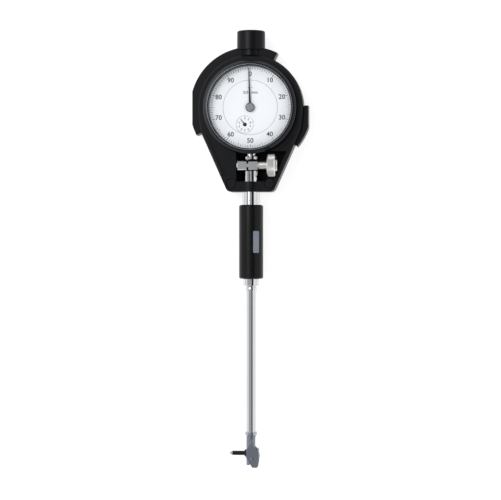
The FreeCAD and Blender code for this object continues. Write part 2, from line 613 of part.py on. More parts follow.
def guide():
    """Centring shoe: two shield-shaped cheeks astride the head, joined by a bridge."""
    outline = [(x, CONTACT_Y + y) for x, y in GUIDE_OUTLINE]
    cheeks = []
    for side in (-1, 1):
        z0 = STEM_Z + side * CHEEK_Z
        z1 = STEM_Z + side * (CHEEK_Z + CHEEK_THICK)
        cheeks.append(prism(outline, min(z0, z1), max(z0, z1)))
    reach = CHEEK_Z + CHEEK_THICK
    bridge = block(BRIDGE_X0, BRIDGE_X1, BRIDGE_Y0, BRIDGE_Y1, STEM_Z - reach, STEM_Z + reach)
    shoe = bridge.fuse(cheeks)
    shoe = shoe.cut(cylinder_x(CONTACT_R + LOOSE, BRIDGE_X0 - 1, BRIDGE_X1 + 1, CONTACT_Y))
    slot_r = GUIDE_PIN_R + RUN
    slot = block(GUIDE_PIN_X, GUIDE_PIN_X + STROKE, GUIDE_PIN_Y - slot_r, GUIDE_PIN_Y + slot_r,
                 STEM_Z - reach, STEM_Z + reach)
    ends = [cylinder_z(slot_r, STEM_Z - reach, STEM_Z + reach, x, GUIDE_PIN_Y)
            for x in (GUIDE_PIN_X, GUIDE_PIN_X + STROKE)]
    return shoe.cut([slot] + ends)


def guide_pin():
    reach = CHEEK_Z + CHEEK_THICK + RUN
    pin = cylinder_z(GUIDE_PIN_R, STEM_Z - reach, STEM_Z + reach, GUIDE_PIN_X, GUIDE_PIN_Y)
    heads = [cylinder_z(GUIDE_PIN_R + 0.35, STEM_Z + reach, STEM_Z + reach + 0.4, GUIDE_PIN_X, GUIDE_PIN_Y),
             cylinder_z(GUIDE_PIN_R + 0.35, STEM_Z - reach - 0.4, STEM_Z - reach, GUIDE_PIN_X, GUIDE_PIN_Y)]
    return pin.fuse(heads)


def polar(radius, degrees, x=0.0, y=0.0):
    angle = math.radians(degrees)
    return x + radius * math.cos(angle), y + radius * math.sin(angle)


def lug_places():
    return [polar(LUG_CENTRE_R, 45 + 90 * turn) for turn in range(4)]


def indicator_case():
    back = CASE_BACK_Z + BACK_THICK
    wall = cylinder_z(CASE_R, back, CASE_FRONT_Z)
    wall = wall.cut(cylinder_z(CASE_R - CASE_WALL, back, WEB_Z))
    for x, y in lug_places():
        wall = wall.fuse(cylinder_z(LUG_R, back, LUG_TOP, x, y))
        wall = wall.cut(cylinder_z(BACK_SCREW_R, back, LUG_TOP, x, y))
    groove = turned_z([(WIRE_R0 - RUN, WIRE_Z0 - RUN), (CASE_R + 1, WIRE_Z0 - RUN),
                       (CASE_R + 1, WIRE_Z1 + RUN), (WIRE_R0 - RUN, WIRE_Z1 + RUN)])
    holes = [cylinder_y(STEM_R, -CASE_R, 0), cylinder_y(SPINDLE_CAP_R, 0, CASE_R),
             cylinder_z(FINE_ARBOR_R + RUN, WEB_Z, CASE_FRONT_Z),
             cylinder_z(ARBOR_R + RUN, WEB_Z, CASE_FRONT_Z, SMALL_X, SMALL_Y),
             cylinder_z(FINE_ARBOR_R + RUN, WEB_Z, CASE_FRONT_Z, TAKE_UP_X, TAKE_UP_Y)]
    return wall.cut([groove] + holes)


def case_back():
    plate = cylinder_z(CASE_R, CASE_BACK_Z, CASE_BACK_Z + BACK_THICK)
    plate = plate.makeChamfer(0.4, edges_where(plate, lambda box: box.ZMax < CASE_BACK_Z + 0.001))
    for x, y in lug_places():
        plate = plate.cut([cylinder_z(BACK_SCREW_R + LOOSE, CASE_BACK_Z, CASE_BACK_Z + BACK_THICK, x, y),
                           cylinder_z(2 * BACK_SCREW_R, CASE_BACK_Z, CASE_BACK_Z + 0.6, x, y)])
    return plate


def back_screws():
    screws = []
    for x, y in lug_places():
        head = cylinder_z(2 * BACK_SCREW_R - RUN, CASE_BACK_Z + RUN, CASE_BACK_Z + 0.6, x, y)
        screws.append(head.fuse(cylinder_z(BACK_SCREW_R, CASE_BACK_Z + 0.6, LUG_TOP - 1, x, y)))
    return Part.makeCompound(screws)


def indicator_stem():
    stem = turned_y([(SPINDLE_R + RUN, STEM_BOTTOM), (STEM_R - 0.3, STEM_BOTTOM), (STEM_R, STEM_BOTTOM + 0.5),
                     (STEM_R, -CASE_R + CASE_WALL), (SPINDLE_R + RUN, -CASE_R + CASE_WALL)])
    return stem


def spindle():
    bar = cylinder_y(SPINDLE_R, SPINDLE_BOTTOM, SPINDLE_TOP)
    tip_x = RACK_X - RACK_ADD
    root_x = RACK_X + RACK_DED
    half_length = RACK_TEETH * RACK_PITCH / 2
    bar = bar.cut(block(-SPINDLE_R, tip_x, SMALL_Y - half_length - 1, SMALL_Y + half_length + 1,
                        STEM_Z - SPINDLE_R, STEM_Z + SPINDLE_R))
    tooth = RACK_PITCH / 2 - BACKLASH
    slope = math.tan(math.radians(20))
    half_root_gap = (RACK_PITCH - tooth) / 2 - RACK_DED * slope
    half_tip_gap = (RACK_PITCH - tooth) / 2 + RACK_ADD * slope
    gaps = []
    for number in range(RACK_TEETH):
        y = SMALL_Y + (number - (RACK_TEETH - 1) / 2) * RACK_PITCH
        points = [(tip_x - 0.1, y - half_tip_gap), (root_x, y - half_root_gap),
                  (root_x, y + half_root_gap), (tip_x - 0.1, y + half_tip_gap)]
        gaps.append(prism(points, STEM_Z - SPINDLE_R, STEM_Z + SPINDLE_R))
    bar = bar.cut(gaps)
    return bar.cut(cylinder_z(SPINDLE_PIN_R, STEM_Z - SPINDLE_R, STEM_Z, 0, SPINDLE_PIN_Y))


def spindle_pin():
    """Pin that runs in the movement plate's slot and keeps the spindle from turning."""
    return cylinder_z(SPINDLE_PIN_R, PLATE_Z, STEM_Z, 0, SPINDLE_PIN_Y)


def spindle_tip():
    low = SPINDLE_BOTTOM - SPINDLE_TIP_LENGTH
    tip = cylinder_y(SPINDLE_TIP_R, low, SPINDLE_BOTTOM)
    return tip.makeFillet(1.0, edges_where(tip, lambda box: box.YMax < low + 0.001))


def spindle_cap():
    cap = cylinder_y(SPINDLE_CAP_R, CASE_R - CASE_WALL, SPINDLE_CAP_TOP)
    cap = cap.makeFillet(0.6, edges_where(cap, lambda box: box.YMin > SPINDLE_CAP_TOP - 0.001))
    return cap.cut(cylinder_y(SPINDLE_R + RUN, CASE_R - CASE_WALL, SPINDLE_CAP_TOP - 1))


def pillar_places():
    return [polar(PILLAR_CENTRE_R, degrees) for degrees in PILLAR_ANGLES]


def bridge_post_places():
    return [(-6.5, 0.0), (TAKE_UP_X + 2.6, TAKE_UP_Y + 1.6)]


def movement_plate():
    top = PLATE_Z + PLATE_THICK
    plate = cylinder_z(PLATE_R, PLATE_Z, top)
    slot_r = SPINDLE_PIN_R + RUN
    holes = [cylinder_z(ARBOR_R + RUN, PLATE_Z, top, SMALL_X, SMALL_Y),
             cylinder_z(slot_r, PLATE_Z, top, 0, SPINDLE_PIN_Y),
             cylinder_z(slot_r, PLATE_Z, top, 0, SPINDLE_PIN_Y + STROKE),
             block(-slot_r, slot_r, SPINDLE_PIN_Y, SPINDLE_PIN_Y + STROKE, PLATE_Z, top)]
    return plate.cut(holes)


def plate_pillars():
    top = PLATE_Z + PLATE_THICK
    return Part.makeCompound([cylinder_z(PILLAR_R, top, WEB_Z, x, y) for x, y in pillar_places()])


def bridge_posts():
    top = PLATE_Z + PLATE_THICK
    return Part.makeCompound([cylinder_z(0.9, top, BRIDGE_PLATE_Z, x, y) for x, y in bridge_post_places()])


def movement_bridge():
    """Bar over the spindle that carries the lower pivots of the centre and take-up arbors."""
    z1 = BRIDGE_PLATE_Z + BRIDGE_PLATE_THICK
    (left_x, left_y), (right_x, right_y) = bridge_post_places()
    bar = prism([(left_x, left_y - 1.8), (2.0, -1.8), (right_x, right_y - 3.4), (right_x, right_y + 1.8),
                 (left_x, left_y + 1.8)], BRIDGE_PLATE_Z, z1)
    bar = bar.fuse([cylinder_z(1.8, BRIDGE_PLATE_Z, z1, left_x, left_y),
                    cylinder_z(1.8, BRIDGE_PLATE_Z, z1, right_x, right_y)])
    return bar.cut([cylinder_z(FINE_ARBOR_R + RUN, BRIDGE_PLATE_Z, z1),
                    cylinder_z(FINE_ARBOR_R + RUN, BRIDGE_PLATE_Z, z1, TAKE_UP_X, TAKE_UP_Y)])


def toothed(teeth, pitch_r, addendum, dedendum, z0, z1, x, y, tooth_deg):
    """Spur gear with straight-flanked teeth; one tooth points along tooth_deg."""
    pitch = 2 * math.pi * pitch_r / teeth
    tooth = pitch / 2 - BACKLASH
    tip_half = math.degrees(tooth * 0.24 / (pitch_r + addendum))
    root_half = math.degrees(min(tooth * 0.68, pitch * 0.36) / (pitch_r - dedendum))
    points = []
    for number in range(teeth):
        centre = tooth_deg + number * 360 / teeth
        points += [polar(pitch_r - dedendum, centre - root_half, x, y),
                   polar(pitch_r + addendum, centre - tip_half, x, y),
                   polar(pitch_r + addendum, centre + tip_half, x, y),
                   polar(pitch_r - dedendum, centre + root_half, x, y)]
    return prism(points, z0, z1)


def large_gear(x, y, tooth_deg, arbor_r):
    radius = GEAR_MODULE * GEAR_TEETH / 2
    gear = toothed(GEAR_TEETH, radius, GEAR_MODULE * 0.9, GEAR_MODULE * 1.2,
                   GEAR_Z, GEAR_Z + GEAR_THICK, x, y, tooth_deg)
    for turn in range(5):
        hole_x, hole_y = polar(5.6, tooth_deg + 36 + 72 * turn, x, y)
        gear = gear.cut(cylinder_z(2.1, GEAR_Z, GEAR_Z + GEAR_THICK, hole_x, hole_y))
    return gear.cut(cylinder_z(arbor_r / 2, GEAR_Z, GEAR_Z + GEAR_THICK, x, y))


def rack_gear():
    """Arbor with the 16-tooth pinion that meets the rack and the 100-tooth gear above it."""
    pinion = toothed(RACK_PINION_TEETH, RACK_PITCH_R, RACK_ADD, RACK_DED,
                     STEM_Z - 1.2, STEM_Z + 1.2, SMALL_X, SMALL_Y, 0.0)
    gear = large_gear(SMALL_X, SMALL_Y, SMALL_DIAL_DEG + 180, ARBOR_R)
    arbor = cylinder_z(ARBOR_R, PLATE_Z, SMALL_POINTER_Z, SMALL_X, SMALL_Y)
    return arbor.fuse([pinion, gear])


def centre_pinion():
    radius = GEAR_MODULE * PINION_TEETH / 2
    pinion = toothed(PINION_TEETH, radius, GEAR_MODULE * 0.9, GEAR_MODULE * 1.2,
                     GEAR_Z - 0.2, GEAR_Z - 0.2 + PINION_THICK, 0, 0, SMALL_DIAL_DEG + 180 / PINION_TEETH)
    return pinion.fuse(cylinder_z(FINE_ARBOR_R, BRIDGE_PLATE_Z, POINTER_Z))


def take_up_gear():
    gear = large_gear(TAKE_UP_X, TAKE_UP_Y, TAKE_UP_DEG + 180, FINE_ARBOR_R)
    return gear.fuse([cylinder_z(FINE_ARBOR_R, BRIDGE_PLATE_Z, CASE_FRONT_Z - LOOSE, TAKE_UP_X, TAKE_UP_Y),
                      cylinder_z(0.9, GEAR_Z + GEAR_THICK, GEAR_Z + GEAR_THICK + 0.4, TAKE_UP_X, TAKE_UP_Y)])


def hairspring():
    """Flat spiral round the take-up arbor, in two turns."""
    z0 = GEAR_Z + GEAR_THICK + GAP
    strip = 0.18
    turns = 2
    steps = 12 * turns

    def curve(shift):
        points = []
        for step in range(steps + 1):
            radius = 1.3 + 3.6 * step / steps + shift
            x, y = polar(radius, 30.0 * step, TAKE_UP_X, TAKE_UP_Y)
            points.append(Vector(x, y, z0))
        spline = Part.BSplineCurve()
        spline.interpolate(points)
        return spline.toShape()

    inner = curve(0)
    outer = curve(strip)
    ends = [Part.makeLine(inner.Vertexes[0].Point, outer.Vertexes[0].Point),
            Part.makeLine(inner.Vertexes[-1].Point, outer.Vertexes[-1].Point)]
    face = Part.Face(Part.Wire([inner, ends[1], outer, ends[0]]))
    spring = face.extrude(Vector(0, 0, 0.6))
    stud_x, stud_y = polar(4.9 + strip / 2, 0, TAKE_UP_X, TAKE_UP_Y)
    return spring.fuse(cylinder_z(0.5, z0, WEB_Z, stud_x, stud_y))


def dial_centre():
    disc = cylinder_z(DIAL_CENTRE_R, DIAL_Z - LOOSE, DIAL_Z + DIAL_THICK)
    return disc.cut([cylinder_z(1.5, CASE_FRONT_Z, DIAL_Z + DIAL_THICK),
                     cylinder_z(1.2, CASE_FRONT_Z, DIAL_Z + DIAL_THICK, SMALL_X, SMALL_Y)])


def dial_ring():
    disc = cylinder_z(DIAL_R, DIAL_Z, DIAL_Z + DIAL_THICK)
    return disc.cut(cylinder_z(DIAL_CENTRE_R + LOOSE, DIAL_Z, DIAL_Z + DIAL_THICK))


def bezel():
    skirt = CASE_R + RUN
    seat = CRYSTAL_R + RUN
    glass_top = CRYSTAL_Z + CRYSTAL_THICK
    groove = WIRE_R1 + RUN
    return turned_z([(skirt, BEZEL_Z0), (BEZEL_R, BEZEL_Z0), (BEZEL_R, BEZEL_CHAMFER_Z),
                     (BEZEL_FACE_R, BEZEL_Z1), (BEZEL_BORE_R + 0.6, BEZEL_Z1),
                     (BEZEL_BORE_R, glass_top + RUN), (seat, glass_top + RUN), (seat, CRYSTAL_Z),
                     (BEZEL_BORE_R, CRYSTAL_Z), (BEZEL_BORE_R, DIAL_Z), (skirt, DIAL_Z),
                     (skirt, WIRE_Z1 + RUN), (groove, WIRE_Z1 + RUN), (groove, WIRE_Z0 - RUN),
                     (skirt, WIRE_Z0 - RUN)])


def bezel_wire():
    return turned_z([(WIRE_R0, WIRE_Z0), (WIRE_R1, WIRE_Z0), (WIRE_R1, WIRE_Z1), (WIRE_R0, WIRE_Z1)])


def crystal():
    disc = cylinder_z(CRYSTAL_R, CRYSTAL_Z, CRYSTAL_Z + CRYSTAL_THICK)
    return disc


def main_pointer():
    blade = prism([(1.5, -0.75), (POINTER_TIP_R, -0.12), (POINTER_TIP_R, 0.12), (1.5, 0.75)],
                  POINTER_Z, POINTER_Z + POINTER_THICK)
    blade.rotate(Vector(0, 0, 0), Vector(0, 0, 1), POINTER_DEG)
    hub = cylinder_z(POINTER_HUB_R, POINTER_Z, POINTER_Z + 0.6)
    hub = hub.makeFillet(0.2, edges_where(hub, lambda box: box.ZMin > POINTER_Z + 0.599))
    return hub.fuse(blade)


def small_pointer():
    blade = prism([(0, -0.35), (SMALL_POINTER_LENGTH, -0.1), (SMALL_POINTER_LENGTH, 0.1), (0, 0.35)],
                  SMALL_POINTER_Z, SMALL_POINTER_Z + SMALL_POINTER_THICK)
    blade.rotate(Vector(0, 0, 0), Vector(0, 0, 1), SMALL_POINTER_DEG)
    blade.translate(Vector(SMALL_X, SMALL_Y, 0))
    return blade.fuse(cylinder_z(0.9, SMALL_POINTER_Z, SMALL_POINTER_Z + SMALL_POINTER_THICK,
                                 SMALL_X, SMALL_Y))


PIECES = (rear_cover, front_cover, cover_screws, top_cap, holder_tube, thumb_screw, grip,
          grip_label_plate, grip_ferrule, stem_tube, stem_ring, rod_bushes, push_rod, head_body,
          anvil, anvil_lock_nut, contact_point, cam_lever, lever_pin, guide, guide_pin,
          guide_springs, indicator_case, case_back, back_screws, indicator_stem, spindle,
          spindle_pin, spindle_tip, spindle_cap, movement_plate, plate_pillars, bridge_posts,
          movement_bridge, rack_gear, centre_pinion, take_up_gear, hairspring, dial_centre,
          dial_ring, bezel, bezel_wire, crystal, main_pointer, small_pointer)

os.makedirs("parts", exist_ok=True)
for piece in PIECES:
    piece().exportStep(os.path.join("parts", piece.__name__ + ".step"))
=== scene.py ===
import json
import math

import bmesh
import bpy
from mathutils import Matrix, Vector


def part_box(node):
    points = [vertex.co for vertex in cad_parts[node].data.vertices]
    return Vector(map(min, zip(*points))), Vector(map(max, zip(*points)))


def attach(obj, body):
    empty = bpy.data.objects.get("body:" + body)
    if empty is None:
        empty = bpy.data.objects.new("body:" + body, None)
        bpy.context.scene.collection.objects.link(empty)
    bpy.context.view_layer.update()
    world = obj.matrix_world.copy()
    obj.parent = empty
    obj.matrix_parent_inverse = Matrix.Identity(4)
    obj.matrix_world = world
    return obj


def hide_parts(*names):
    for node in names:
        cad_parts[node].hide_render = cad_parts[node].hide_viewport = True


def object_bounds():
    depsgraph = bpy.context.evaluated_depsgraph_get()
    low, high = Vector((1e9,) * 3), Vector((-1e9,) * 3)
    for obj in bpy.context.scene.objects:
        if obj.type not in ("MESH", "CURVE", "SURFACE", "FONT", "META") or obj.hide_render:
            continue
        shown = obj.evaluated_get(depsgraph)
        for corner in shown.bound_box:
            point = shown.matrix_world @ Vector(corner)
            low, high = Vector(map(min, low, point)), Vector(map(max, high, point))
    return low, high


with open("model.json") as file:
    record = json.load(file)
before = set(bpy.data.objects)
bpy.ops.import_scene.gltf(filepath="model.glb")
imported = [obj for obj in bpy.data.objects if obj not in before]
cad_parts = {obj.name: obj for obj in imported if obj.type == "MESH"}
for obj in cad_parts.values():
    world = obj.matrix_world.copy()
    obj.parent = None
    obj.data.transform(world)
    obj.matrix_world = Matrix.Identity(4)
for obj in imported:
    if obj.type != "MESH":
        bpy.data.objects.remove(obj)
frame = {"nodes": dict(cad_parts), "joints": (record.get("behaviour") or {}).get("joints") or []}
cad_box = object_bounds()

# Camera. The gauge lies on its back, so the camera looks down on it along -Z, a few degrees
# from the right, far away with a long lens, and the picture takes in 309 mm from side to side.
MM = 0.001
CAMERA_TILT = math.radians(5.0)
CAMERA_DISTANCE = 1.3
PICTURE_WIDTH = 309.3 * MM
STEM_Z = sum(corner.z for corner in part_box("stem_tube")) / 2
look_at = Vector((-0.4 * MM, -87.6 * MM, STEM_Z))
camera_data = bpy.data.cameras.new("camera")
camera_data.sensor_width = 36.0
camera_data.lens = 36.0 * CAMERA_DISTANCE / PICTURE_WIDTH
camera = bpy.data.objects.new("camera", camera_data)
camera.rotation_euler = (0.0, CAMERA_TILT, 0.0)
camera.location = look_at + CAMERA_DISTANCE * Vector((math.sin(CAMERA_TILT), 0.0, math.cos(CAMERA_TILT)))
bpy.context.scene.collection.objects.link(camera)
bpy.context.scene.camera = camera


# Materials are named for the real stuff and its finish. Colours are written as sRGB hex.
def srgb(code, alpha=1.0):
    """An sRGB hex colour as the linear colour that the shaders take."""
    channels = [int(code[i:i + 2], 16) / 255 for i in (0, 2, 4)]
    linear = [c / 12.92 if c <= 0.04045 else ((c + 0.055) / 1.055) ** 2.4 for c in channels]
    return (*linear, alpha)


def node(tree, kind, settings=None, **inputs):
    """Add a node with its settings, and set or link its inputs by name."""
    made = tree.nodes.new(kind)
    for key, value in (settings or {}).items():
        setattr(made, key, value)
    for key, value in inputs.items():
        socket = made.inputs[int(key[1:])] if key[1:].isdigit() else made.inputs[key.replace("_", " ")]
        if isinstance(value, bpy.types.NodeSocket):
            tree.links.new(value, socket)
        else:
            socket.default_value = value
    return made


def surface(name, base, roughness, metallic=0.0, grain_mm=0.4, bump_mm=0.01, vary=0.08, stretch=(1, 1, 1),
            specular=0.5):
    """A solid finish whose colour and roughness vary a little, with a fine grain in relief."""
    made = bpy.data.materials.new(name)
    made.use_nodes = True
    tree = made.node_tree
    shader = tree.nodes["Principled BSDF"]
    shader.inputs["Metallic"].default_value = metallic
    shader.inputs["Specular IOR Level"].default_value = specular
    place = node(tree, "ShaderNodeTexCoord").outputs["Object"]
    place = node(tree, "ShaderNodeMapping", Vector=place, Scale=stretch).outputs["Vector"]
    grain = node(tree, "ShaderNodeTexNoise", Vector=place, Scale=1 / (grain_mm * MM), Detail=3.0)
    clouds = node(tree, "ShaderNodeTexNoise", Vector=place, Scale=1 / (14 * MM), Detail=2.0)
    colour = srgb(base)
    dark = tuple(c * (1 - vary) for c in colour[:3]) + (1.0,)
    light = tuple(min(1.0, c * (1 + vary)) for c in colour[:3]) + (1.0,)
    mix = node(tree, "ShaderNodeMix", {"data_type": "RGBA"}, Factor=clouds.outputs["Fac"], _6=dark, _7=light)
    tree.links.new(mix.outputs[2], shader.inputs["Base Color"])
    rough = node(tree, "ShaderNodeMapRange", Value=grain.outputs["Fac"],
                 To_Min=max(0.02, roughness * 0.85), To_Max=min(1.0, roughness * 1.15))
    tree.links.new(rough.outputs["Result"], shader.inputs["Roughness"])
    relief = node(tree, "ShaderNodeBump", Height=grain.outputs["Fac"], Strength=0.5, Distance=bump_mm * MM)
    tree.links.new(relief.outputs["Normal"], shader.inputs["Normal"])
    return made


# Moulded ABS, spark-eroded texture: a fine even grain, satin black that greys where light grazes it.
cover_abs = surface("satin black ABS", "0C0D11", 0.36, grain_mm=0.5, bump_mm=0.02, vary=0.2, specular=0.15)
# Phenolic grip: closer and a little glossier than the covers.
grip_plastic = surface("moulded black grip", "0A0A0C", 0.3, grain_mm=0.7, bump_mm=0.015, vary=0.15,
                       specular=0.2)
# Hard chrome plate over ground steel: a mirror with the faintest lines of grinding round it.
hard_chrome = surface("hard chrome plate", "DADBDD", 0.07, 1.0, grain_mm=0.35, bump_mm=0.0006, vary=0.02,
                      stretch=(0.15, 1, 0.15))
# Satin nickel plate, bead blasted before plating: soft, pale and slightly warm.
satin_nickel = surface("satin nickel plate", "F2F1EE", 0.28, 1.0, grain_mm=0.2, bump_mm=0.003, vary=0.04)
# Ground tool steel, left bright.
bright_steel = surface("ground tool steel", "B4B6BA", 0.22, 1.0, grain_mm=0.25, bump_mm=0.002, vary=0.05)
# Hardened steel with a grey phosphate finish.
grey_steel = surface("phosphated steel", "868C97", 0.34, 1.0, grain_mm=0.3, bump_mm=0.005, vary=0.14)
# Blackened steel of the anvil, the bezel and the screws.
black_oxide = surface("black oxide steel", "131417", 0.24, 0.5, grain_mm=0.3, bump_mm=0.003, vary=0.15)
# Turned brass of the movement.
turned_brass = surface("turned brass", "C9A557", 0.25, 1.0, grain_mm=0.2, bump_mm=0.002, vary=0.08)
# Stove enamel of the dial: flat white, silk.
dial_enamel = surface("white dial enamel", "F4F5F6", 0.5, grain_mm=0.3, bump_mm=0.001, vary=0.012)
# Printing ink on the dial.
dial_ink = surface("black dial ink", "08080B", 0.6, grain_mm=0.3, bump_mm=0.001, vary=0.1)
# Grey painted shade: the step where the raised scale ring meets the fixed centre, drawn as a faint circle.
step_shade_ink = surface("grey painted step shade", "B4BAC4", 0.6, grain_mm=0.3, bump_mm=0.001, vary=0.1)
# Painted pressure casting of the indicator's case.
case_paint = surface("case paint", "2C2D31", 0.45, grain_mm=0.6, bump_mm=0.01, vary=0.1)

FINISHES = {
    "rear_cover": cover_abs, "front_cover": cover_abs, "top_cap": cover_abs, "cover_screws": black_oxide,
    "holder_tube": hard_chrome, "grip": grip_plastic, "grip_label_plate": grey_steel,
    "stem_ring": bright_steel, "rod_bushes": turned_brass, "push_rod": bright_steel,
    "head_body": grey_steel, "anvil_lock_nut": black_oxide, "contact_point": bright_steel,
    "cam_lever": bright_steel, "lever_pin": bright_steel, "guide": grey_steel,
    "guide_pin": bright_steel, "guide_springs": bright_steel, "indicator_case": case_paint,
    "case_back": case_paint, "back_screws": bright_steel, "indicator_stem": hard_chrome,
    "spindle": bright_steel, "spindle_pin": bright_steel, "spindle_tip": bright_steel,
    "spindle_cap": bright_steel, "movement_plate": turned_brass, "plate_pillars": turned_brass,
    "bridge_posts": turned_brass, "movement_bridge": turned_brass, "rack_gear": turned_brass,
    "centre_pinion": bright_steel, "take_up_gear": turned_brass, "hairspring": bright_steel,
    "dial_centre": dial_enamel, "dial_ring": dial_enamel, "bezel_wire": bright_steel,
    "small_pointer": dial_ink,
}
for name, finish in FINISHES.items():
    mesh = frame["nodes"][name].data
    mesh.materials.clear()
    mesh.materials.append(finish)


# Making a piece: its mesh is merged, turned right side out and tied to its body.
def finished(name, shape, finish, body, replaced=(), sharp_deg=30.0):
    """Make the piece's object: merged, normals out, smooth but for its sharp edges."""
    bmesh.ops.remove_doubles(shape, verts=shape.verts, dist=1e-7)
    bmesh.ops.recalc_face_normals(shape, faces=shape.faces)
    for face in shape.faces:
        face.smooth = True
    for edge in shape.edges:
        if len(edge.link_faces) == 2 and edge.calc_face_angle() > math.radians(sharp_deg):
            edge.smooth = False
    mesh = bpy.data.meshes.new(name)
    shape.to_mesh(mesh)
    shape.free()
    mesh.materials.append(finish)
    piece = bpy.data.objects.new(name, mesh)
    bpy.context.scene.collection.objects.link(piece)
    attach(piece, body)
    if replaced:
        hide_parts(*replaced)
    return piece


def turned(profile, centre, axis, segments=96):
    """Spin (radius, length) points in mm about an axis through centre; open ends lie on the axis."""
    shape = bmesh.new()
    across = Vector((1, 0, 0)) if axis.x < 0.5 else Vector((0, 1, 0))
    corners = [shape.verts.new(centre + across * radius * MM + axis * length * MM)
               for radius, length in profile]
    edges = [shape.edges.new(pair) for pair in zip(corners, corners[1:])]
    bmesh.ops.spin(shape, geom=corners + edges, cent=centre, axis=axis, angle=math.tau,
                   steps=segments, use_merge=True)
    bmesh.ops.remove_doubles(shape, verts=shape.verts, dist=1e-8)
    return shape


ALONG_X = Vector((1, 0, 0))
ALONG_Y = Vector((0, 1, 0))
ALONG_Z = Vector((0, 0, 1))
stem_axis = Vector((0, 0, STEM_Z))


def span(name, index):
    """Lowest and highest place of a node along one axis, in mm."""
    low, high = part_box(name)
    return low[index] / MM, high[index] / MM


def radius_of(name, index=0):
    low, high = span(name, index)
    return (high - low) / 2


# Stem tube: drawn steel, ground and hard chromed, 6 mm across.
low, high = span("stem_tube", 1)
radius = radius_of("stem_tube", 2)
bore = 2.0
shape = turned([(bore, low), (radius - 0.15, low), (radius, low + 0.15), (radius, high), (bore, high),
                (bore, low)], stem_axis, ALONG_Y, 128)
finished("tube", shape, hard_chrome, "frame", ["stem_tube"])

# Ferrule below the grip: one turned piece with a wide collar and a rounded bead.
low, high = span("grip_ferrule", 1)
radius = radius_of("grip_ferrule", 2)
bore = 3.05
bead_middle, bead_half, bead_r = low + 1.5, 1.5, 3.5
bead = [(bead_r - 0.42 * (1 - math.cos(math.radians(turn))),
         bead_middle + bead_half * math.sin(math.radians(turn)))
        for turn in range(-80, 81, 20)]
shape = turned([(bore, low + 0.05)] + bead + [(3.25, low + 3.05), (3.25, low + 3.7),
                (radius - 0.6, low + 3.7), (radius - 0.1, low + 3.95), (radius, low + 4.3),
                (radius, low + 7.9), (radius - 0.15, low + 8.1), (4.4, low + 8.1), (4.4, high), (bore, high),
                (bore, low + 0.05)], stem_axis, ALONG_Y, 128)
finished("ferrule", shape, hard_chrome, "frame", ["grip_ferrule"])

# Anvil: a blackened pin with a bright rounded carbide tip, screwed into the left of the head.
low, high = span("anvil", 0)
head_y = sum(span("anvil", 1)) / 2
head_axis = Vector((0, head_y * MM, STEM_Z))
radius = radius_of("anvil", 1)
shape = turned([(0, high), (radius, high), (radius, low + 1.9), (radius - 0.12, low + 1.7)],
               head_axis, ALONG_X, 64)
finished("anvil_shank", shape, black_oxide, "frame", ["anvil"])
tip = [(radius - 0.12 - 0.95 * math.sin(math.radians(turn)) ** 1.5,
        low + 1.7 - 1.7 * math.sin(math.radians(turn)))
       for turn in range(0, 91, 10)]
shape = turned(tip + [(0, low)], head_axis, ALONG_X, 64)
finished("anvil_tip", shape, bright_steel, "frame")

# Centring shoe: broached, with the edges of its cheeks broken so that they catch the light.
shape = bmesh.new()
shape.from_mesh(frame["nodes"]["guide"].data)
bmesh.ops.remove_doubles(shape, verts=shape.verts, dist=1e-7)
bmesh.ops.dissolve_limit(shape, angle_limit=math.radians(1), verts=shape.verts, edges=shape.edges)
low, high = span("guide", 2)
pin_x, pin_y = (sum(span("guide_pin", index)) / 2 for index in (0, 1))
rims = [edge for edge in shape.edges
        if all(min(vert.co.z / MM - low, high - vert.co.z / MM) < 0.01 for vert in edge.verts)
        and abs(edge.verts[0].co.z - edge.verts[1].co.z) < 0.01 * MM
        and len(edge.link_faces) == 2 and edge.calc_face_angle() > math.radians(60)
        and not all(-0.6 < vert.co.x / MM - pin_x < 1.8 and abs(vert.co.y / MM - pin_y) < 0.6
                    for vert in edge.verts)]
EDGE_BREAK = 0.22
bmesh.ops.bevel(shape, geom=rims, offset=EDGE_BREAK * MM, affect="EDGES", segments=2, profile=0.5, material=-1)
finished("shoe", shape, grey_steel, "shoe", ["guide"], 20.0)

# Clamp screw: turned and knurled, nickel plated; its head stands clear of the barrel.
low, high = span("thumb_screw", 0)
screw_y = sum(span("thumb_screw", 1)) / 2
screw_z = sum(span("thumb_screw", 2)) / 2
screw_axis = Vector((0, screw_y * MM, screw_z * MM))
head_r = radius_of("thumb_screw", 1)
head_end = high - 1.1
knurl_depth = 0.22
shape = turned([(0, low), (1.45, low), (1.45, 5.3), (2.8, 5.3), (2.8, head_end - 5),
                (head_r - 0.7, head_end - 5), (head_r, head_end - 4.4), (head_r, head_end - 0.6),
                (head_r - 0.7, head_end), (4.25, head_end), (4.25, high - 0.3), (3.95, high), (0, high)],
                screw_axis, ALONG_X, 120)
for vert in shape.verts:
    across = Vector((0, vert.co.y - screw_axis.y, vert.co.z - screw_axis.z))
    turn = round(math.degrees(math.atan2(across.z, across.y)) / 3)
    if across.length > (head_r - 0.1) * MM and turn % 2:
        vert.co -= across.normalized() * knurl_depth * MM
finished("clamp_screw", shape, satin_nickel, "clamp_screw", ["thumb_screw"], 20.0)

# Bezel: a turned black ring with a broad bevel to the glass; inside it a fine grey ring, which is a painted
# highlight on the bezel's inner chamfer.
low, high = span("bezel", 2)
radius = radius_of("bezel")
shape = turned([(26.55, low), (radius - 0.3, low), (radius, low + 0.3), (radius, high - 1.7),
                (radius - 0.25, high - 1.25), (27.1, high - 0.1), (26.7, high), (26.0, high),
                (25.75, high - 0.25), (25.3, high - 1.15), (25.3, 16.35), (26.55, 16.35), (26.55, low)],
                Vector(), ALONG_Z, 180)
finished("bezel_ring", shape, black_oxide, "bezel_set", ["bezel"], 24.0)
# Painted highlight: a thin grey steel ring that stands in for the light on the black bezel's inner chamfer.
shape = turned([(26.0, high - 0.1), (26.05, high + 0.03), (26.35, high + 0.03), (26.4, high - 0.1),
                (26.0, high - 0.1)], Vector(), ALONG_Z, 180)
finished("bezel_highlight", shape, grey_steel, "bezel_set", (), 60.0)

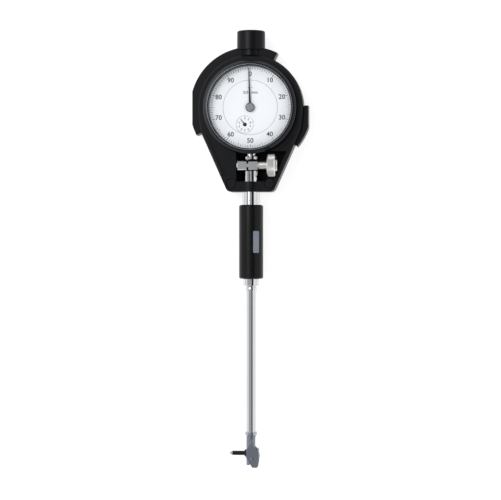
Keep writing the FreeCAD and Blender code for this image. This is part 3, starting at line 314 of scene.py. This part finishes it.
# Crystal: clear acrylic, flat, with a polished edge held in the bezel. It mirrors more as it is seen
# edge on, and alike from both of its faces.
low, high = span("crystal", 2)
radius = radius_of("crystal")
glass = bpy.data.materials.new("clear acrylic")
glass.use_nodes = True
glass_tree = glass.node_tree
clear = node(glass_tree, "ShaderNodeBsdfTransparent", Color=(0.985, 0.99, 0.995, 1.0))
shine = node(glass_tree, "ShaderNodeBsdfGlossy", Roughness=0.02, Color=(1.0, 1.0, 1.0, 1.0))
facing = node(glass_tree, "ShaderNodeLayerWeight", Blend=0.5).outputs["Facing"]
edge_on = node(glass_tree, "ShaderNodeMath", {"operation": "POWER"}, _0=facing, _1=5.0)
mirrored = node(glass_tree, "ShaderNodeMath", {"operation": "MULTIPLY_ADD"}, _0=edge_on.outputs[0],
                _1=0.9, _2=0.02)
both = node(glass_tree, "ShaderNodeMixShader", _0=mirrored.outputs[0], _1=clear.outputs[0], _2=shine.outputs[0])
glass_out = glass_tree.nodes["Material Output"]
glass_tree.links.new(both.outputs[0], glass_out.inputs["Surface"])
shape = turned([(0, low), (radius - 0.1, low), (radius, low + 0.1), (radius, high - 0.1), (radius - 0.1, high),
                (0, high)], Vector(), ALONG_Z, 128)
finished("crystal_glass", shape, glass, "bezel_set", ["crystal"])

# Dial print: a hundred marks, every fifth longer, and plain numbers in tens, printed on the ring.
dial_top = span("dial_ring", 2)[1]
INK = 0.02


def marks(count, inner, outer, width, every, longer, centre=(0.0, 0.0)):
    """Ring of printed bars; each bar whose number divides by every starts longer further in."""
    shape = bmesh.new()
    for number in range(count):
        major = number % every == 0
        start = inner - (longer if major else 0.0)
        thick = width * (1.5 if number % (2 * every) == 0 else 1.0)
        size = Matrix.Diagonal((thick * MM, (outer - start) * MM, INK * MM, 1.0))
        turn = Matrix.Rotation(-math.tau * number / count, 4, "Z")
        place = Matrix.Translation((centre[0] * MM, centre[1] * MM, (dial_top + INK / 2) * MM))
        reach = Matrix.Translation((0, (start + outer) / 2 * MM, 0))
        bmesh.ops.create_cube(shape, size=1.0, matrix=place @ turn @ reach @ size)
    return shape


def lettering(name, text, height, x, y, finish, body):
    """One piece of text, centred on x and y in mm and lying on the dial."""
    curve = bpy.data.curves.new(name, "FONT")
    curve.body = text
    curve.size = height * MM * 1.4
    curve.offset = height * MM * 0.022
    curve.align_x = "CENTER"
    curve.align_y = "CENTER"
    curve.resolution_u = 3
    holder = bpy.data.objects.new(name, curve)
    bpy.context.scene.collection.objects.link(holder)
    mesh = bpy.data.meshes.new_from_object(holder)
    bpy.data.objects.remove(holder)
    mesh.transform(Matrix.Translation((x * MM, y * MM, (dial_top + INK) * MM)))
    mesh.materials.clear()
    mesh.materials.append(finish)
    piece = bpy.data.objects.new(name, mesh)
    bpy.context.scene.collection.objects.link(piece)
    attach(piece, body)
    return piece


finished("dial_marks", marks(100, 23.4, 24.8, 0.2, 5, 0.6), dial_ink, "bezel_set")
NUMERAL_R = 20.5
for number in range(10):
    angle = math.tau * number / 10
    lettering(f"numeral_{number}", str(number * 10), 2.9, NUMERAL_R * math.sin(angle),
              NUMERAL_R * math.cos(angle), dial_ink, "bezel_set")

# Fixed centre of the dial: a fine grey circle at its edge, which is painted shade of the step where the raised
# scale ring meets it; a plain legend; and the small dial.
shape = turned([(16.65, dial_top), (16.65, dial_top + INK), (16.8, dial_top + INK), (16.8, dial_top),
                (16.65, dial_top)], Vector(), ALONG_Z, 128)
finished("dial_step_shade", shape, step_shade_ink, "frame")
lettering("legend", "0.01 mm", 1.8, 0.2, 9.2, dial_ink, "frame")
for name, x in (("legend_left", -1.1), ("legend_right", 1.1)):
    shape = bmesh.new()
    size = Matrix.Diagonal((0.55 * MM, 0.4 * MM, INK * MM, 1.0))
    bmesh.ops.create_cube(shape, size=1.0,
                          matrix=Matrix.Translation((x * MM, 12.2 * MM, (dial_top + INK / 2) * MM)) @ size)
    finished(name, shape, dial_ink, "frame")
small_joint = next(joint for joint in frame["joints"] if joint["child"] == "rack_arbor")
small_x, small_y = (value / MM for value in small_joint["pos_m"][:2])
finished("small_marks", marks(50, 5.0, 5.7, 0.14, 5, 0.5, (small_x, small_y)), dial_ink, "frame")
for number in range(10):
    angle = math.tau * number / 10
    lettering(f"small_numeral_{number}", str(number), 1.2, small_x - 3.6 * math.sin(angle),
              small_y + 3.6 * math.cos(angle), dial_ink, "frame")

# Pointers: the main hand is a slender blackened blade on a grey turned hub.
low, high = span("main_pointer", 2)
tip_y = span("main_pointer", 1)[1]
shape = bmesh.new()
POINTER_DEG = 2.0
size = Matrix.Diagonal((1.3 * MM, (tip_y - 1.0) * MM, 0.25 * MM, 1.0))
place = Matrix.Translation((0, (tip_y + 1.0) / 2 * MM, (low + 0.125) * MM))
bmesh.ops.create_cube(shape, size=1.0, matrix=place @ size)
for vert in shape.verts:
    if vert.co.y > tip_y * 0.9 * MM:
        vert.co.x *= 0.3
bmesh.ops.rotate(shape, verts=shape.verts, cent=Vector(),
                 matrix=Matrix.Rotation(math.radians(POINTER_DEG), 3, "Z"))
finished("pointer_blade", shape, dial_ink, "centre_arbor", ["main_pointer"])
hub_r = 2.7
shape = turned([(0, high), (1.1, high), (1.2, high - 0.12), (hub_r - 0.45, high - 0.12),
                (hub_r - 0.25, high - 0.2), (hub_r, high - 0.45), (hub_r, low), (0, low)],
               Vector(), ALONG_Z, 64)
finished("pointer_hub", shape, bright_steel, "centre_arbor", (), 20.0)
shape = turned([(hub_r, high - 0.3), (hub_r + 0.12, high - 0.35), (hub_r + 0.12, low), (hub_r, low),
                (hub_r, high - 0.3)], Vector(), ALONG_Z, 64)
finished("pointer_hub_edge", shape, black_oxide, "centre_arbor")

# Floor: pale and plain. The camera sees it nearly white, with the gauge's soft shadow on it.
FLOOR_REACH = 3.0
FLOOR_DROP = 0.0004
floor_mesh = bmesh.new()
bmesh.ops.create_grid(floor_mesh, x_segments=1, y_segments=1, size=FLOOR_REACH)
bmesh.ops.translate(floor_mesh, verts=floor_mesh.verts, vec=Vector((0, 0, cad_box[0][2] - FLOOR_DROP)))
floor_data = bpy.data.meshes.new("floor")
floor_mesh.to_mesh(floor_data)
floor_mesh.free()
floor = bpy.data.objects.new("floor", floor_data)
bpy.context.scene.collection.objects.link(floor)
paper = bpy.data.materials.new("white paper")
paper.use_nodes = True
tree = paper.node_tree
lit = node(tree, "ShaderNodeBsdfDiffuse", Color=srgb("E8E8E8"))
path = node(tree, "ShaderNodeLightPath")
seen = node(tree, "ShaderNodeMath", {"operation": "MAXIMUM"}, _0=path.outputs["Is Camera Ray"],
            _1=path.outputs["Is Glossy Ray"])
seen = node(tree, "ShaderNodeMath", {"operation": "MAXIMUM"}, _0=seen.outputs[0],
            _1=path.outputs["Is Transmission Ray"])
dim = node(tree, "ShaderNodeBsdfDiffuse", Color=(0.3, 0.3, 0.3, 1.0))
glow = node(tree, "ShaderNodeEmission", Color=(1.0, 1.0, 1.0, 1.0), Strength=0.8)
shown = node(tree, "ShaderNodeAddShader", _0=dim.outputs[0], _1=glow.outputs[0])
choice = node(tree, "ShaderNodeMixShader", _0=seen.outputs[0], _1=lit.outputs[0], _2=shown.outputs[0])
tree.links.new(choice.outputs[0], tree.nodes["Material Output"].inputs["Surface"])
floor_data.materials.append(paper)

# Light: a pale world, which polished metal sees as a studio tent with a bright panel on the left, a
# grey front, a dark gap at its opening and a bright right wall; and two large soft lamps. The gap
# draws the dark line down the chromed tube. The fill lamp is kept out of reflections.
world = bpy.data.worlds.new("studio tent")
bpy.context.scene.world = world
world.use_nodes = True
tree = world.node_tree
back = tree.nodes["Background"]
aim = node(tree, "ShaderNodeSeparateXYZ", Vector=node(tree, "ShaderNodeTexCoord").outputs["Generated"])
side = node(tree, "ShaderNodeMath", {"operation": "ARCTAN2"}, _0=aim.outputs["X"], _1=aim.outputs["Z"])
ramp = node(tree, "ShaderNodeValToRGB")
turns = node(tree, "ShaderNodeMapRange", Value=side.outputs[0], From_Min=-math.pi / 2, From_Max=math.pi / 2)
tree.links.new(turns.outputs["Result"], ramp.inputs["Fac"])
BANDS = ((-88, 0.5), (-80, 1.0), (-58, 1.0), (-52, 0.48), (12, 0.42), (15, 0.015), (38, 0.015), (41, 1.0),
         (80, 1.0), (88, 0.5))
HORIZON = (0.25, 0.25, 0.25, 1.0)
ramp.color_ramp.elements[0].position = 0.0
ramp.color_ramp.elements[1].position = 1.0
for degrees, value in BANDS:
    stop = ramp.color_ramp.elements.new((degrees + 90) / 180)
    stop.color = (value, value, value * 1.01, 1.0)
for end in (0, len(ramp.color_ramp.elements) - 1):
    ramp.color_ramp.elements[end].color = HORIZON
path = node(tree, "ShaderNodeLightPath")
tone = node(tree, "ShaderNodeMix", {"data_type": "RGBA"}, Factor=path.outputs["Is Glossy Ray"],
            _6=(0.75, 0.75, 0.76, 1.0), _7=ramp.outputs["Color"])
seen = node(tree, "ShaderNodeMix", {"data_type": "RGBA"}, Factor=path.outputs["Is Camera Ray"],
            _6=tone.outputs[2], _7=(1.0, 1.0, 1.0, 1.0))
tree.links.new(seen.outputs[2], back.inputs["Color"])
back.inputs["Strength"].default_value = 1.0
for name, place, size, power in (("key", (-0.5, 0.35, 1.0), 0.5, 5.0), ("fill", (0.7, -0.4, 1.1), 0.8, 3.0)):
    lamp = bpy.data.lights.new(name, "AREA")
    lamp.size = size
    lamp.energy = power
    holder = bpy.data.objects.new(name, lamp)
    holder.location = Vector(place) + look_at
    holder.rotation_euler = (look_at - holder.location).to_track_quat("-Z", "Y").to_euler()
    holder.visible_glossy = name == "key"
    bpy.context.scene.collection.objects.link(holder)

bpy.context.scene.view_settings.view_transform = "Standard"
